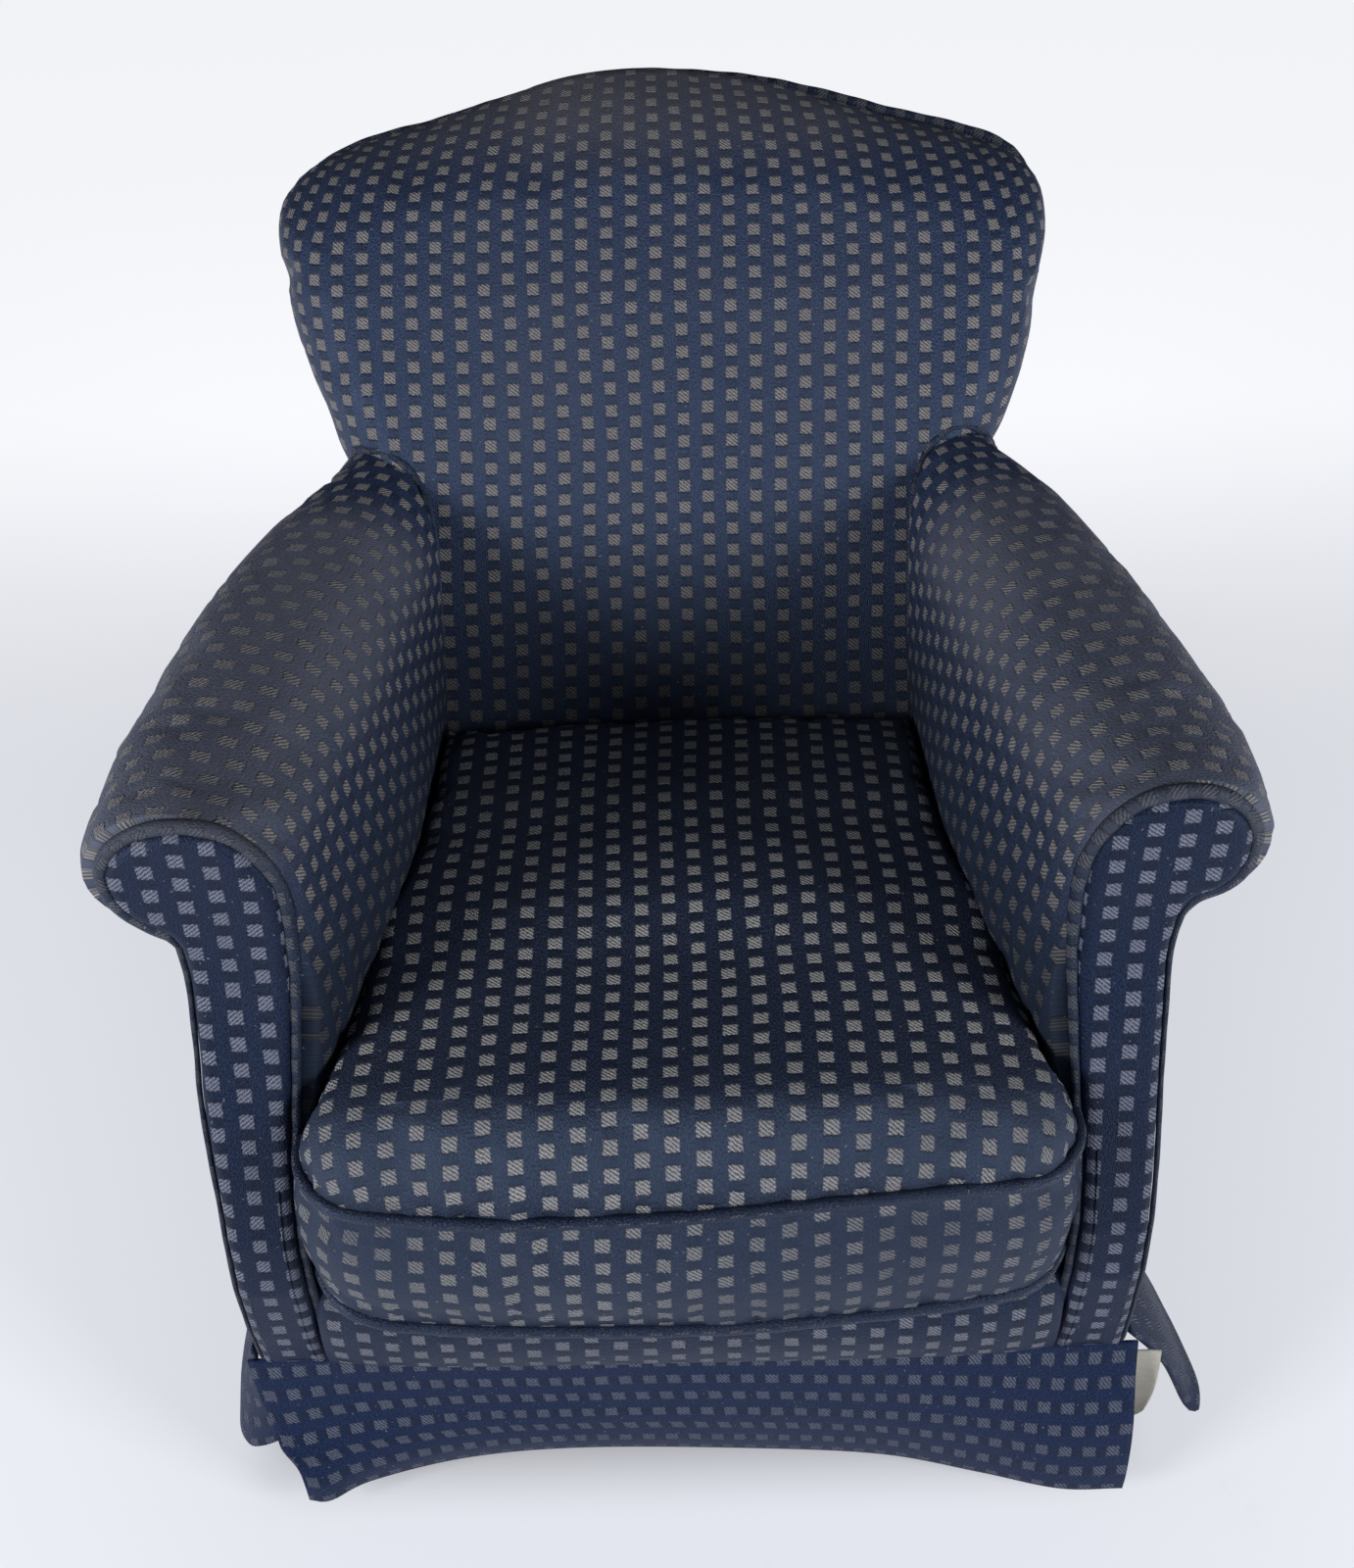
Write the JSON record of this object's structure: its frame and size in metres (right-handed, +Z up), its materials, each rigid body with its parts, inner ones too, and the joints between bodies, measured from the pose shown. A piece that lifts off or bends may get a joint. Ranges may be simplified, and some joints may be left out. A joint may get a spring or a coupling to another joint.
{
  "type": "armchair",
  "caption": "Small old easy chair with rolled arms, a camel back, a sagging loose seat cushion and a skirt to the floor, in worn navy woven cloth.",
  "frame": {"origin": "middle of the chair's footprint at floor level", "axes": "+Z up, the chair faces -Y, +X to the right as seen from the front"},
  "size_m": [0.7422, 0.8296, 0.8807],
  "materials": {
    "beech": "bare planed timber",
    "jute": "coarse jute webbing and hessian",
    "spring_steel": "coppered steel wire, dulled",
    "calico": "unbleached cotton, grubby",
    "woven_cover": "navy woven cloth with small grey-taupe squares, rubbed and dusty on the arms and top",
    "skirt_cloth": "the same cloth turned sideways, faded, with frayed edges"
  },
  "bodies": {
    "root": {"seat_rail_front": "beech", "seat_rail_back": "beech", "seat_rail_right": "beech", "seat_rail_left": "beech", "arm_stump_right": "beech", "arm_stump_left": "beech", "back_post_right": "beech", "back_post_left": "beech", "arm_rail_right": "beech", "arm_rail_left": "beech", "arm_tack_rail_right": "beech", "arm_tack_rail_left": "beech", "crest_rail": "beech", "back_tack_rail": "beech", "corner_block_front_right": "beech", "corner_block_front_left": "beech", "corner_block_back_right": "beech", "corner_block_back_left": "beech", "foot_front_right": "beech", "foot_front_left": "beech", "foot_back_right": "beech", "foot_back_left": "beech", "seat_webbing": "jute", "back_webbing": "jute", "seat_hessian": "jute", "bottoming_cloth": "jute", "spring_1": "spring_steel", "spring_2": "spring_steel", "spring_3": "spring_steel", "spring_4": "spring_steel", "spring_5": "spring_steel", "spring_6": "spring_steel", "spring_7": "spring_steel", "spring_8": "spring_steel", "spring_9": "spring_steel", "seat_platform": "calico", "skirt_lining": "calico", "front_border": "woven_cover", "seat_cushion": "woven_cover", "cushion_piping_top": "woven_cover", "cushion_piping_bottom": "woven_cover", "arm_pad_right": "woven_cover", "arm_pad_left": "woven_cover", "outside_arm_right": "woven_cover", "outside_arm_left": "woven_cover", "arm_facing_right": "woven_cover", "arm_facing_left": "woven_cover", "facing_piping_right": "woven_cover", "facing_piping_left": "woven_cover", "arm_back_piping_right": "woven_cover", "arm_back_piping_left": "woven_cover", "inside_back": "woven_cover", "back_edge_roll": "woven_cover", "outside_back": "woven_cover", "back_piping": "woven_cover", "skirt_front": "skirt_cloth", "skirt_back": "skirt_cloth", "skirt_right": "skirt_cloth", "skirt_left": "skirt_cloth"}
  },
  "joints": []
}
